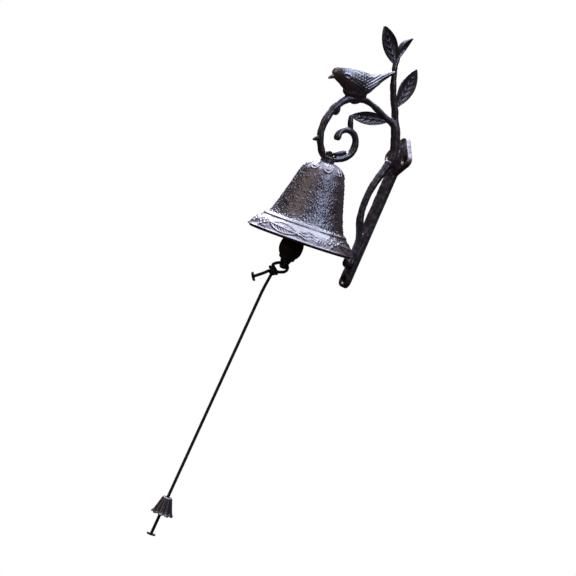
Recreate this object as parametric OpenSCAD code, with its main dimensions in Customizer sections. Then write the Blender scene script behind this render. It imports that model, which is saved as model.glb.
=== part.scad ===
// Wall mounted garden bell: a cast branch bracket with a bird and leaves, a bolted bell,
// a hanging clapper and a pull cord with a fluted weight.
// Millimetres. Origin at the back plate's wall face, midway between its two top screw holes.
// +Z is up, -Y points away from the wall, and the scroll lies in the plane x = 0.

/* [Back plate] */
// Width of the vertical strap
strap_w = 15; // [13:0.5:18]
// Thickness of the plate
plate_t = 5.5; // [4.5:0.5:7]
// Drop from the top screw holes to the bottom screw hole
bottom_hole_drop = 128.5; // [122:0.5:140]
// Distance between the two top screw holes
hole_spacing = 29; // [26:0.5:36]
// Width of metal round each top screw hole, as a radius
head_round = 6.5; // [6:0.5:8]
// Height of the head's apex above the top screw holes
head_rise = 21.5; // [18:0.5:28]
// Screw hole diameter
screw_hole_d = 5; // [4:0.1:6]
// Countersink diameter
countersink_d = 9; // [7:0.1:10]

/* [Branches] */
// Thickness of the scroll at the side away from the wall
scroll_d = 7; // [5.8:0.1:8.4]
// Thickness of the bowed branch in front of the strap
branch_d = 7; // [5.8:0.1:8.4]
// Thickness of the main stem where it leaves the plate
stem_d = 9.6; // [8:0.1:11]
// Thickness of a leaf's blade
leaf_t = 2.4; // [1.8:0.1:3.2]

/* [Bird] */
// Width of the bird's body
bird_w = 22; // [18:0.5:26]

/* [Bell] */
// Mouth diameter
bell_d = 106; // [88:1:110]
// Height from mouth to crown
bell_h = 76; // [64:1:92]
// Wall thickness
bell_wall = 3; // [2.4:0.1:3.6]
// Tilt of the bell's axis, mouth towards the wall
bell_tilt = 5.3; // [4:0.1:8]
// Height of the decorated band above the mouth
band_h = 15; // [12:0.5:18]
// Height of the boss that the bell is bolted under
boss_h = 6.2; // [5.6:0.2:9]

/* [Bolt and nuts] */
// Eye bolt shank diameter
bolt_d = 4; // [3.3:0.1:4.8]
// Nut height
nut_h = 3.2; // [2.4:0.1:4]
// Nut width across flats
nut_af = 7; // [6.6:0.1:8]
// Washer thickness
washer_t = 0.8; // [0.6:0.1:1.2]
// Wire diameter of the bolt's eye
eye_wire = 2.8; // [2.4:0.1:3.4]
// Radius of the bolt's eye, to the middle of its wire
eye_r = 4; // [3.8:0.1:5]

/* [Clapper] */
// Wire diameter of the link
link_wire = 2.4; // [2:0.1:2.8]
// Length of the link between the middles of its two end bends
link_len = 12; // [10:0.5:15]
// Radius of the link's end bends, to the middle of the wire
link_r = 3.4; // [3.2:0.1:4.5]
// Diameter of the clapper's bulb
clapper_d = 22.8; // [19:0.2:27.4]
// Diameter of the clapper's stem
clapper_stem_d = 6.5; // [5:0.5:8]
// Drop from the clapper's eye to the middle of its bulb
clapper_drop = 63.5; // [58:0.5:68]
// Thickness of the clapper's tail
tail_t = 5; // [4:0.2:6.2]
// Width of the clapper's tail
tail_w = 9.6; // [8.4:0.2:11]
// Diameter of the cord hole through the tail
tail_hole_d = 4.4; // [3.8:0.1:4.8]

/* [Cord and pull weight] */
// Cord diameter
cord_d = 3; // [2.5:0.1:3.6]
// Diameter of the knot under the clapper
knot_d = 9.6; // [8.6:0.2:10.4]
// Diameter of the flattened cord ends
cord_head_d = 9.6; // [8:0.2:12]
// Height of the pull weight
weight_h = 17; // [14:0.5:21]
// Diameter of the pull weight's mouth
weight_d = 22.4; // [18.6:0.2:27]
// Diameter of the pull weight's top
weight_top_d = 10; // [9:0.5:14]
// Number of flutes round the pull weight
flutes = 10; // [8:1:12]
// Wall of the pull weight's skirt
weight_wall = 2.2; // [1.8:0.1:2.8]
// Tilt of the pull weight where it rests on its stop knot
weight_tilt = 6; // [0:1:8]

/* [Hidden] */

fine = 64;
iron = [0.16, 0.13, 0.13];
steel = [0.35, 0.33, 0.32];
black = [0.06, 0.06, 0.06];

bolt_gap = 0.15;
boss_r = max(nut_af * 0.9, 1.5 * bolt_d + 0.6);
swing_gap = 0.3;
running_gap = 0.7;
strap_end_r = strap_w / 2;
sink_depth = (countersink_d - screw_hole_d) / 2;

// Seat where the bell's crown meets the boss, as [y, z]
bell_seat = [-74.2, -33.1];

// Stations along the cast branches are [y, z, radius]
branch_r = branch_d / 2;
branch_stations = [
    [-7.6, -112, branch_r - 0.3], [-7, -104, branch_r], [-6.9, -96, branch_r - 0.2],
    [-7.8, -86, branch_r - 0.2], [-11, -78.5, branch_r], [-14.4, -71, branch_r],
    [-17, -62, branch_r], [-17.9, -52, branch_r], [-17.8, -43, branch_r],
    [-16.9, -34, branch_r + 0.1], [-14.6, -24, branch_r + 0.3], [-12, -15, branch_r + 0.6],
    [-10.4, -7, branch_r + 0.8]
];
stem_r = stem_d / 2;
stem_stations = [
    [-9, -10, stem_r - 0.8], [-9.4, -3, stem_r - 0.2], [-10.2, 4, stem_r], [-12.4, 11, stem_r],
    [-15.6, 18, stem_r], [-19.6, 25, stem_r - 0.5], [-23.6, 32, stem_r - 1.1],
    [-28.3, 40.5, stem_r - 1.3], [-33.6, 48, stem_r - 1.5], [-38, 55, stem_r - 1.7],
    [-42, 63, stem_r - 1.9], [-45.2, 71, stem_r - 2], [-47.6, 78, stem_r - 2], [-48, 85, stem_r - 2.4],
    [-48, 89, stem_r - 3.2]
];
scroll_r = scroll_d / 2;
arch_stations = [
    [-18, 23.5, scroll_r], [-25, 28.2, scroll_r], [-33, 29.6, scroll_r - 0.3], [-40, 31.6, scroll_r - 0.4],
    [-48, 34, scroll_r - 0.5], [-56, 35.8, scroll_r - 0.5], [-64, 36, scroll_r - 0.2], [-72, 33.8, scroll_r]
];
side_stations = [
    [-70, 34.6, scroll_r], [-77, 31.8, scroll_r], [-83.5, 27.6, scroll_r], [-88.6, 20.5, scroll_r],
    [-92, 12, scroll_r], [-93.8, 3, scroll_r], [-93.8, -6, scroll_r], [-91.8, -14, scroll_r],
    [-87.4, -21.5, scroll_r], [-81.6, -27.4, scroll_r], [-76, -29.6, scroll_r - 0.3]
];
curl_stations = [
    [-76, -29.2, scroll_r - 0.3], [-68, -26.8, scroll_r - 0.2], [-60, -22.6, scroll_r],
    [-54.6, -17, scroll_r], [-53, -10, scroll_r], [-54.2, -3.4, scroll_r - 0.1],
    [-58.6, 1.8, scroll_r - 0.3], [-64.6, 3.8, scroll_r - 0.4], [-70.6, 2.4, scroll_r - 0.4],
    [-74.4, -1.8, scroll_r - 0.2], [-74.6, -6.6, scroll_r + 0.2], [-74.2, -9.8, scroll_r - 0.9]
];
tendril_stations = [[-64, 3.6, 2.6], [-67, 9, 2.8], [-69, 13.5, 2.6], [-70.4, 18, 1.6]];
knob_stations = [
    [-8.2, -117.2, 1.6], [-8.3, -115.6, 3.9], [-8.5, -112.8, 5], [-8.5, -109.8, 4.9], [-8.2, -107, 3.6]
];
thorn_stations = [[-92, -14, 3.2], [-95.4, -16.9, 2.6], [-98.4, -19.3, 0.8]];
side_bud_stations = [[-89.4, 21, 2.2], [-87.4, 17, 3.4], [-86.6, 13.6, 2.8], [-88.4, 11, 1]];
curl_bud_stations = [[-71, -22.8, 1.8], [-66.4, -20.4, 3], [-62.4, -17.6, 3], [-59.6, -16, 1.4]];
arch_bud_stations = [[-78, 31, 2.4], [-74, 30.2, 2.6], [-70, 32, 2.4], [-67, 36, 1.8]];
perch_stations = [[-89, 35, 1], [-85, 36.5, 4], [-78, 38, 5.5], [-70, 39.5, 5], [-65, 40, 2]];

// Stations along the bird are [y, z, half height, share of the body's width]
bird_stations = [
    [-107, 45, 1.8, 0.14], [-105, 46, 5.2, 0.42], [-101, 47.8, 8.2, 0.68], [-96, 49, 9.6, 0.84],
    [-89.5, 49.4, 11.6, 0.96], [-82, 49.8, 12.8, 1], [-75, 50.8, 13, 0.96], [-69, 53.6, 11.2, 0.84],
    [-63, 58, 7.8, 0.66], [-57.4, 62.8, 5, 0.5], [-52, 67.6, 3.2, 0.4], [-46.6, 72.8, 1.7, 0.3]
];
beak_stations = [[-103.4, 44.8, 3.2], [-106.6, 41.8, 2.2], [-109.2, 38.8, 0.6]];

// Leaves are [foot y, foot z, length, width, lean from upright, turn about the midrib, cup, bow]
leaf_top_front_place = [-48.6, 79.5, 38.8, 15.2, 44, 4, 1.8, 0];
leaf_top_rear_place = [-48.5, 84.6, 25.4, 14, -13.5, 42, 1.5, -3.2];
leaf_side_place = [-27.6, 44.5, 40.5, 15.4, -4.5, -4, 1.8, 0];
leaf_inner_place = [-30, 28, 42.5, 12.5, 104.8, 10, 2.4, 0];

// The bell's outline from crown to band, as [radius as a share of the mouth's, depth as a share]
bell_outline = [
    [0.16, 0], [0.25, 0.02], [0.325, 0.055], [0.38, 0.105], [0.42, 0.165], [0.455, 0.24], [0.493, 0.34],
    [0.542, 0.46], [0.595, 0.58], [0.645, 0.68], [0.702, 0.765]
];
band_top_r = 0.757 * bell_d / 2;
band_bulge = 0.9;
bead_r = 0.8;
thread_stand = 1.2;
eye_sink = 0.4;
shank_top = boss_h + washer_t + nut_h + thread_stand;
eye_drop = 3 * bell_wall / 2 + washer_t + nut_h + eye_r + eye_wire / 2 - eye_sink;
eye_centre = [
    bell_seat[0] + eye_drop * sin(bell_tilt),
    bell_seat[1] - eye_drop * cos(bell_tilt)
];
link_top = eye_centre[1] - eye_r + eye_wire / 2 + link_wire / 2 + swing_gap;
link_bottom = link_top - link_len;
clapper_pivot = link_bottom + link_wire / 2 + eye_wire / 2 + swing_gap;
bulb_z = clapper_pivot - clapper_drop;
clapper_r = clapper_d / 2;
tail_drop = 17.1;
tail_hole_z = bulb_z - tail_drop;
hang_y = eye_centre[0];

// Cord routes lie in the plane x = 0 and are points [y, z]
loop_route = [
    [-80.4, -143.6], [-80.6, -140.6], [-79.2, -138.2], [-76.4, -137.3], [-73, -137.3], [-69.8, -137.4],
    [-67.8, -139], [-67.4, -141.6], [-69, -144], [-72.4, -145.8], [-76, -147], [-79, -147.4]
];
knot_centre = [-81, -146];
tail_route = [[-84.6, -148.6], [-88.2, -151.8], [-91.6, -154.6], [-95, -157.2], [-97.6, -159.2]];
pull_route = [
    [-81.2, -151.2], [-81.7, -156], [-82.4, -162.6], [-83, -170], [-83.2, -179], [-83.4, -188],
    [-83.6, -197], [-83.8, -206], [-84, -215], [-84.2, -224], [-84.4, -233], [-84.6, -242],
    [-84.8, -251], [-85, -260], [-85.2, -269], [-85.4, -278], [-85.6, -287], [-85.8, -296], [-86, -305],
    [-86.2, -314], [-86.4, -323], [-86.6, -332], [-86.8, -341], [-87, -350], [-87.2, -359],
    [-87.4, -368], [-87.6, -377], [-87.8, -386], [-88, -395], [-88.2, -404], [-88.4, -413],
    [-88.6, -422]
];
// The lower stretch of the pull cord leans straight away from the wall
cord_slope = 0.2 / 9;
weight_top_z = -384.2;
weight_roof = 4;
head_t = 1.8;
head_w = 4;
stop_knot_r = cord_d;
knot_gap = 0.4;

// Catmull-Rom curve through four neighbouring stations
function between(a, b, c, d, t) =
    0.5 * (2 * b + (c - a) * t + (2 * a - 5 * b + 4 * c - d) * t * t + (3 * b - a - 3 * c + d) * t * t * t);

// A smooth run of points through every station
function smooth(s, steps) =
    let (last = len(s) - 1)
    concat(
        [for (i = [0:last - 1]) for (k = [0:steps - 1])
            between(s[max(i - 1, 0)], s[i], s[i + 1], s[min(i + 2, last)], k / steps)],
        [s[last]]
    );

// Unit direction of a run at point i, as [y, z]
function heading(s, i) =
    let (
        a = s[max(i - 1, 0)],
        b = s[min(i + 1, len(s) - 1)],
        run = [b[0] - a[0], b[1] - a[1]]
    )
    run / norm(run);

// Side faces of a tube, with a flat cap at each end
function tube_faces(rings, sides) =
    concat(
        [[for (k = [sides - 1:-1:0]) k]],
        [for (i = [0:rings - 2]) for (k = [0:sides - 1])
            let (next = (k + 1) % sides)
            [i * sides + k, i * sides + next, (i + 1) * sides + next, (i + 1) * sides + k]],
        [[for (k = [0:sides - 1]) (rings - 1) * sides + k]]
    );

// A round bar swept in the plane x = 0; each point is [y, z, radius]
module swept(points, sides) {
    rings = [
        for (i = [0:len(points) - 1])
        let (dir = heading(points, i))
        for (k = [0:sides - 1])
        let (across = points[i][2] * sin(360 * k / sides))
        [points[i][2] * cos(360 * k / sides), points[i][0] - dir[1] * across, points[i][1] + dir[0] * across]
    ];
    polyhedron(points = rings, faces = tube_faces(len(points), sides), convexity = 6);
}

// A swept bar whose width in x differs; each point is [y, z, half height, half width]
module swept_oval(points, sides) {
    rings = [
        for (i = [0:len(points) - 1])
        let (dir = heading(points, i))
        for (k = [0:sides - 1])
        let (across = points[i][2] * sin(360 * k / sides))
        [points[i][3] * cos(360 * k / sides), points[i][0] - dir[1] * across, points[i][1] + dir[0] * across]
    ];
    polyhedron(points = rings, faces = tube_faces(len(points), sides), convexity = 6);
}

module cast_bar(stations, steps = 3) {
    swept(smooth(stations, steps), 12);
}

module cord_bar(route) {
    swept([for (p = route) [p[0], p[1], cord_d / 2]], 8);
}

// Half width of a leaf, as a share of its full width, at a share of its length
function leaf_half(u) = 0.5 * pow(sin(180 * pow(u, 1.05)), 0.75);

// A pointed leaf blade with a curved, cupped surface, its foot on the bracket
module leaf(place) {
    lengthways = 10;
    crossways = 6;
    columns = crossways + 1;
    layer = (lengthways + 1) * columns;
    points = [
        for (face = [-0.5, 0.5]) for (i = [0:lengthways]) for (j = [0:crossways])
        let (
            u = i / lengthways,
            v = 2 * j / crossways - 1,
            swell = sin(180 * u),
            half = max(leaf_half(u), 0.06) * place[3]
        )
        [face * leaf_t + swell * (place[6] * (v * v - 0.5) + place[7]), half * v, place[2] * u]
    ];
    upper = [for (i = [0:lengthways - 1]) for (j = [0:crossways - 1])
        let (a = layer + i * columns + j) [a + columns, a + columns + 1, a + 1, a]];
    lower = [for (i = [0:lengthways - 1]) for (j = [0:crossways - 1])
        let (a = i * columns + j) [a, a + 1, a + columns + 1, a + columns]];
    rim = concat(
        [for (j = [0:crossways - 1]) j],
        [for (i = [0:lengthways - 1]) i * columns + crossways],
        [for (j = [crossways:-1:1]) lengthways * columns + j],
        [for (i = [lengthways:-1:1]) i * columns]
    );
    edge = [for (k = [0:len(rim) - 1])
        let (a = rim[k], b = rim[(k + 1) % len(rim)]) [a, a + layer, b + layer, b]];
    translate([0, place[0], place[1]])
        rotate([place[4], 0, 0])
            rotate([0, 0, place[5]])
                polyhedron(points = points, faces = concat(upper, lower, edge), convexity = 4);
}

// Points round an arc, from one angle to another
function arc(centre, r, from, to) =
    [for (k = [0:16]) let (a = from + (to - from) * k / 16) centre + r * [cos(a), sin(a)]];

module plate_outline() {
    side = hole_spacing / 2;
    apex = [0, head_rise - head_round];
    slope = atan2(side, apex[1]);
    polygon(concat(
        [[strap_end_r, -2.4 * head_round]],
        arc([side, 0], head_round, -54, slope),
        arc(apex, head_round, slope, 180 - slope),
        arc([-side, 0], head_round, 180 - slope, 234),
        [[-strap_end_r, -2.4 * head_round]],
        arc([0, -bottom_hole_drop], strap_end_r, 180, 360)
    ));
}

module screw_hole() {
    rotate([90, 0, 0]) {
        translate([0, 0, -1])
            cylinder(d = screw_hole_d, h = plate_t + 2, $fn = fine);
        translate([0, 0, plate_t - sink_depth])
            cylinder(d1 = screw_hole_d, d2 = countersink_d, h = sink_depth, $fn = fine);
        translate([0, 0, plate_t - 0.001])
            cylinder(d = countersink_d, h = 1, $fn = fine);
    }
}

module back_plate() {
    color(iron)
    difference() {
        rotate([90, 0, 0])
            linear_extrude(plate_t)
                plate_outline();
        for (x = [-hole_spacing / 2, hole_spacing / 2])
            translate([x, 0, 0])
                screw_hole();
        translate([0, 0, -bottom_hole_drop])
            screw_hole();
    }
}

module branch() {
    color(iron)
        cast_bar(branch_stations);
}

module root_knob() {
    color(iron)
        cast_bar(knob_stations);
}

module main_stem() {
    color(iron)
        cast_bar(stem_stations);
}

module arch() {
    color(iron)
        cast_bar(arch_stations);
}

module in_bell_frame() {
    translate([0, bell_seat[0], bell_seat[1]])
        rotate([bell_tilt, 0, 0])
            children();
}

// Room for the boss, its washer and its nut
module boss_room() {
    in_bell_frame()
    translate([0, 0, -2])
        cylinder(r = boss_r, h = shank_top + 6, $fn = fine);
}

module scroll_side() {
    color(iron)
    difference() {
        cast_bar(side_stations);
        boss_room();
    }
}

module scroll_curl() {
    color(iron)
    difference() {
        cast_bar(curl_stations);
        boss_room();
    }
}

module bell_boss() {
    color(iron)
    in_bell_frame()
    difference() {
        cylinder(r = boss_r, h = boss_h, $fn = fine);
        translate([0, 0, -1])
            cylinder(d = bolt_d + 2 * bolt_gap, h = boss_h + 2, $fn = fine);
    }
}

module tendril() {
    color(iron)
        cast_bar(tendril_stations);
}

module thorn() {
    color(iron)
        cast_bar(thorn_stations);
}

module side_bud() {
    color(iron)
        cast_bar(side_bud_stations);
}

module curl_bud() {
    color(iron)
        cast_bar(curl_bud_stations);
}

module arch_bud() {
    color(iron)
        cast_bar(arch_bud_stations);
}

module perch() {
    color(iron)
        cast_bar(perch_stations);
}

module leaf_top_front() {
    color(iron)
        leaf(leaf_top_front_place);
}

module leaf_top_rear() {
    color(iron)
        leaf(leaf_top_rear_place);
}

module leaf_side() {
    color(iron)
        leaf(leaf_side_place);
}

module leaf_inner() {
    color(iron)
        leaf(leaf_inner_place);
}

module bird() {
    stations = [for (s = bird_stations) [s[0], s[1], s[2], s[3] * bird_w / 2]];
    color(iron)
        swept_oval(smooth(stations, 2), 16);
}

module bird_beak() {
    color(iron)
        swept(smooth(beak_stations, 2), 12);
}

// Unit normal of an outline at point i, pointing to the bell's inside
function inward(s, i) =
    let (run = heading(s, i))
    [run[1], -run[0]];

module bell() {
    crown = [for (p = bell_outline) [p[0] * bell_d / 2, -p[1] * bell_h]];
    band_top = [band_top_r, band_h - bell_h];
    band_middle = [(band_top_r + bell_d / 2) / 2 + band_bulge, band_h / 2 - bell_h];
    outer = smooth(concat(crown, [band_top, band_middle, [bell_d / 2, -bell_h]]), 2);
    beaded = [for (p = outer) each p == band_top ? arc(p, bead_r, 120, -35) : [p]];
    last = len(outer) - 1;
    inner = [for (i = [last:-1:1]) outer[i] + bell_wall * inward(outer, i)];
    shoulder = [outer[1][0], -bell_wall * 1.5];
    color(iron)
    in_bell_frame()
    difference() {
        rotate_extrude($fn = 96)
            polygon(concat([[0, 0]], beaded, [for (p = inner) if (p[1] < shoulder[1]) p],
                [shoulder, [0, shoulder[1]]]));
        translate([0, 0, -bell_h])
            cylinder(d = bolt_d + 2 * bolt_gap, h = 2 * bell_h, $fn = fine);
    }
}

module ring(centre_r, wire_d) {
    rotate_extrude($fn = fine)
        translate([centre_r, 0])
            circle(d = wire_d, $fn = 32);
}

module eye_bolt() {
    color(steel)
    in_bell_frame() {
        translate([0, 0, -eye_drop + eye_r])
            cylinder(d = bolt_d, h = shank_top + eye_drop - eye_r, $fn = fine);
        translate([0, 0, -eye_drop])
            rotate([0, 90, 0])
                ring(eye_r, eye_wire);
    }
}

module washer(z) {
    color(steel)
    in_bell_frame()
    translate([0, 0, z])
    difference() {
        cylinder(r = boss_r - 1, h = washer_t, $fn = fine);
        translate([0, 0, -1])
            cylinder(d = bolt_d, h = washer_t + 2, $fn = fine);
    }
}

module nut(z) {
    color(steel)
    in_bell_frame()
    translate([0, 0, z])
    difference() {
        cylinder(d = nut_af / cos(30), h = nut_h, $fn = 6);
        translate([0, 0, -1])
            cylinder(d = bolt_d, h = nut_h + 2, $fn = fine);
    }
}

module top_washer() {
    washer(boss_h);
}

module top_nut() {
    nut(boss_h + washer_t);
}

module inner_washer() {
    washer(-bell_wall * 1.5 - washer_t);
}

module inner_nut() {
    nut(-bell_wall * 1.5 - washer_t - nut_h);
}

module bend(up) {
    rotate([90, 0, 0])
        rotate_extrude(angle = 180 * up, $fn = fine)
            translate([link_r, 0])
                circle(d = link_wire, $fn = 32);
}

module clapper_link() {
    color(steel)
    translate([0, hang_y, 0]) {
        translate([0, 0, link_top - link_r])
            bend(1);
        translate([0, 0, link_bottom + link_r])
            bend(-1);
        for (x = [-link_r, link_r])
            translate([x, 0, link_bottom + link_r])
                cylinder(d = link_wire, h = link_len - 2 * link_r, $fn = 32);
    }
}

module clapper() {
    stem_half = clapper_stem_d / 2;
    tail_sink = 1.4;
    pear = smooth([
        [stem_half, clapper_drop - 2 * link_r], [stem_half, clapper_drop * 0.5], [stem_half + 0.2, clapper_r * 1.9],
        [clapper_r * 0.6, clapper_r * 1.25], [clapper_r * 0.9, clapper_r * 0.62], [clapper_r, clapper_r * 0.1],
        [clapper_r * 0.97, -clapper_r * 0.35], [clapper_r * 0.8, -clapper_r * 0.72],
        [clapper_r * 0.5, -clapper_r * 1.03]
    ], 3);
    color(black)
    translate([0, hang_y, 0]) {
        translate([0, 0, clapper_pivot - link_r])
            rotate([0, 90, 0])
                ring(link_r, eye_wire);
        translate([0, 0, bulb_z])
            rotate_extrude($fn = fine)
                polygon(concat([[0, pear[len(pear) - 1][1]], [0, pear[0][1]]], pear));
        difference() {
            union() {
                translate([0, tail_t / 2, tail_hole_z])
                    rotate([90, 0, 0])
                        cylinder(d = tail_w, h = tail_t, $fn = fine);
                translate([-tail_w / 2, -tail_t / 2, tail_hole_z])
                    cube([tail_w, tail_t, bulb_z - clapper_r - tail_hole_z + tail_sink]);
            }
            translate([0, tail_t, tail_hole_z])
                rotate([90, 0, 0])
                    cylinder(d = tail_hole_d, h = 2 * tail_t, $fn = fine);
        }
    }
}

module cord_loop() {
    color(black)
        cord_bar(loop_route);
}

module cord_knot() {
    color(black)
    translate([0, knot_centre[0], knot_centre[1]])
        sphere(d = knot_d, $fn = 32);
}

module cord_tail() {
    color(black)
        cord_bar(tail_route);
}

// A cord end melted and pressed into a flat bar across the cord
module cord_head() {
    intersection() {
        cylinder(d = cord_head_d, h = head_t, $fn = fine);
        translate([-head_w / 2, -cord_head_d, -1])
            cube([head_w, 2 * cord_head_d, head_t + 2]);
    }
}

module tail_head() {
    end = tail_route[len(tail_route) - 1];
    dir = heading(tail_route, len(tail_route) - 1);
    color(black)
    translate([0, end[0], end[1]])
        rotate([atan2(-dir[0], dir[1]), 0, 0])
            cord_head();
}

module pull_cord() {
    color(black)
        cord_bar(pull_route);
}

// Places its children on the leaning stretch of the pull cord, upright along the cord
module on_cord(z) {
    start = pull_route[3];
    translate([0, start[0] + cord_slope * (z - start[1]), z])
        rotate([-atan(cord_slope), 0, 0])
            children();
}

module stop_knot() {
    color(black)
    on_cord(weight_top_z - weight_roof - stop_knot_r - knot_gap)
    difference() {
        sphere(r = stop_knot_r, $fn = 32);
        cylinder(d = cord_d, h = 4 * stop_knot_r, center = true, $fn = 32);
    }
}

module end_head() {
    end = pull_route[len(pull_route) - 1];
    color(black)
    on_cord(end[1])
    translate([0, 0, -head_t])
        cord_head();
}

module pull_weight() {
    bore_d = cord_d + 2 * running_gap;
    lobe_r = 2.2;
    lip = 1.2;
    bevel = 1;
    lobe_stand = 1.4;
    top_r = weight_top_d / 2;
    mouth_r = weight_d / 2 - lobe_stand;
    roof_r = top_r + (mouth_r - top_r) * (weight_roof - lip) / (weight_h - lip);
    color(iron)
    on_cord(weight_top_z - weight_roof / 2)
    rotate([weight_tilt, 0, 0])
    translate([0, 0, weight_roof / 2])
    difference() {
        union() {
            rotate_extrude($fn = fine)
                polygon([[0, 0], [top_r - bevel, 0], [top_r, -lip], [mouth_r, -weight_h], [0, -weight_h]]);
            for (i = [0:flutes - 1])
                rotate([0, 0, 360 * i / flutes])
                    translate([weight_d / 2 - lobe_r, 0, -weight_h])
                        sphere(r = lobe_r, $fn = 20);
        }
        translate([0, 0, -weight_h - 3])
            cylinder(d = 2 * weight_d, h = 3, $fn = fine);
        rotate_extrude($fn = fine)
            polygon([[0, -weight_roof], [roof_r - weight_wall, -weight_roof],
                [mouth_r - weight_wall, -weight_h - 1], [0, -weight_h - 1]]);
        translate([0, 0, -weight_h])
            cylinder(d = bore_d, h = 2 * weight_h, $fn = fine);
    }
}

back_plate();
branch();
root_knob();
main_stem();
arch();
scroll_side();
bell_boss();
scroll_curl();
tendril();
thorn();
side_bud();
curl_bud();
arch_bud();
perch();
leaf_top_front();
leaf_top_rear();
leaf_side();
leaf_inner();
bird();
bird_beak();
bell();
eye_bolt();
top_washer();
top_nut();
inner_washer();
inner_nut();
clapper_link();
clapper();
cord_loop();
cord_knot();
cord_tail();
tail_head();
pull_cord();
stop_knot();
end_head();
pull_weight();
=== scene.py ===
import math
import bmesh
import bpy
import numpy as np
from mathutils import Matrix, Vector, noise


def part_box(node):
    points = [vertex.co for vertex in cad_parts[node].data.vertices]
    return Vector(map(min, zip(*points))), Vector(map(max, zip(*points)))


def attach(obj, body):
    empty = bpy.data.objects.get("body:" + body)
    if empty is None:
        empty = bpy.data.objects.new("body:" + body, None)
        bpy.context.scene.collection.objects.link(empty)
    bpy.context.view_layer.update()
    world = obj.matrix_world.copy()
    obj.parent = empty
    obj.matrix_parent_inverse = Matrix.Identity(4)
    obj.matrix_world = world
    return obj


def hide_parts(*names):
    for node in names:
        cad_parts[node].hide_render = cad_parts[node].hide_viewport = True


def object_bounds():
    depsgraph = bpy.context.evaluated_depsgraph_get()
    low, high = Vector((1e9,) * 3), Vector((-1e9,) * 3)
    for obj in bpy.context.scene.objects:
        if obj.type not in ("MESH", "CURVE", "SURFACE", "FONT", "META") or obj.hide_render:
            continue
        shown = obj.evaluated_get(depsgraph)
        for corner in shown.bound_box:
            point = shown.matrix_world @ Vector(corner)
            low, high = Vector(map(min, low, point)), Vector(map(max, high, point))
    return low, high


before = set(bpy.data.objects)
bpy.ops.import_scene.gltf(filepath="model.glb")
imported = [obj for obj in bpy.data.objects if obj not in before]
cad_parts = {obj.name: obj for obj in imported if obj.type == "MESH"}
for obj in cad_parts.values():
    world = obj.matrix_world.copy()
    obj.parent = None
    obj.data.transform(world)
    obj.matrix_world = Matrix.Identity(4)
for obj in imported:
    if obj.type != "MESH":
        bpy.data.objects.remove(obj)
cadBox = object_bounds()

mm = 0.001
mergeGap = 0.002 * mm                           # vertices closer than this become one
scene = bpy.context.scene
scene.view_settings.view_transform = "Standard"

# The camera looks level across the bell from its right-hand side, rolled so that the cord hangs aslant
camera = {"azimuth": 60, "roll": 23.5, "distance": 1.6, "height": -0.128, "lens": 104.7, "sensor": 36,
          "nearest": 0.05, "farthest": 60, "target": (0, -0.0584, -0.157)}


def aimCamera(look):
    target = Vector(look["target"])
    turn = math.radians(look["azimuth"])
    spot = target + look["distance"] * Vector((math.sin(turn), -math.cos(turn), 0))
    spot.z = look["height"]
    back = (spot - target).normalized()
    right = Vector((0, 0, 1)).cross(back).normalized()
    up = back.cross(right)
    roll = math.radians(look["roll"])
    sideways = math.cos(roll) * right + math.sin(roll) * up
    upward = -math.sin(roll) * right + math.cos(roll) * up
    eye = bpy.data.cameras.new("camera")
    eye.lens = look["lens"]
    eye.sensor_width = look["sensor"]
    eye.clip_start = look["nearest"]
    eye.clip_end = look["farthest"]
    holder = bpy.data.objects.new("camera", eye)
    holder.matrix_world = Matrix.Translation(spot) @ Matrix((sideways, upward, back)).transposed().to_4x4()
    scene.collection.objects.link(holder)
    scene.camera = holder


aimCamera(camera)
print("camera set")


def linear(hexColour):                          # sRGB hex to the linear colour that a node takes
    parts = [int(hexColour[i:i + 2], 16) / 255 for i in (0, 2, 4)]
    return tuple(c / 12.92 if c <= 0.04045 else ((c + 0.055) / 1.055) ** 2.4 for c in parts) + (1,)


def grey(value):
    return (value, value, value, 1)


def addNode(tree, kind, settings=None, links=None, stops=()):
    node = tree.nodes.new(kind)
    for name, value in (settings or {}).items():
        if isinstance(name, str) and hasattr(node, name):
            setattr(node, name, value)
        else:
            node.inputs[name].default_value = value
    for name, source in (links or {}).items():
        tree.links.new(source, node.inputs[name])
    if stops:                                   # a colour ramp's stops: place and colour
        marks = node.color_ramp.elements
        marks[0].position, marks[0].color = stops[0]
        marks[1].position, marks[1].color = stops[-1]
        for place, colour in stops[1:-1]:
            marks.new(place).color = colour
    return node


def newMaterial(name):
    material = bpy.data.materials.new(name)
    material.use_nodes = True
    tree = material.node_tree
    tree.nodes.clear()
    shader = addNode(tree, "ShaderNodeBsdfPrincipled")
    addNode(tree, "ShaderNodeOutputMaterial", links={"Surface": shader.outputs["BSDF"]})
    return material, tree, shader


def coatShader(tree, shader, tone, gloss, bump):
    tree.links.new(tone.outputs["Color"], shader.inputs["Base Color"])
    tree.links.new(gloss.outputs["Color"], shader.inputs["Roughness"])
    tree.links.new(bump.outputs["Normal"], shader.inputs["Normal"])


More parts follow.
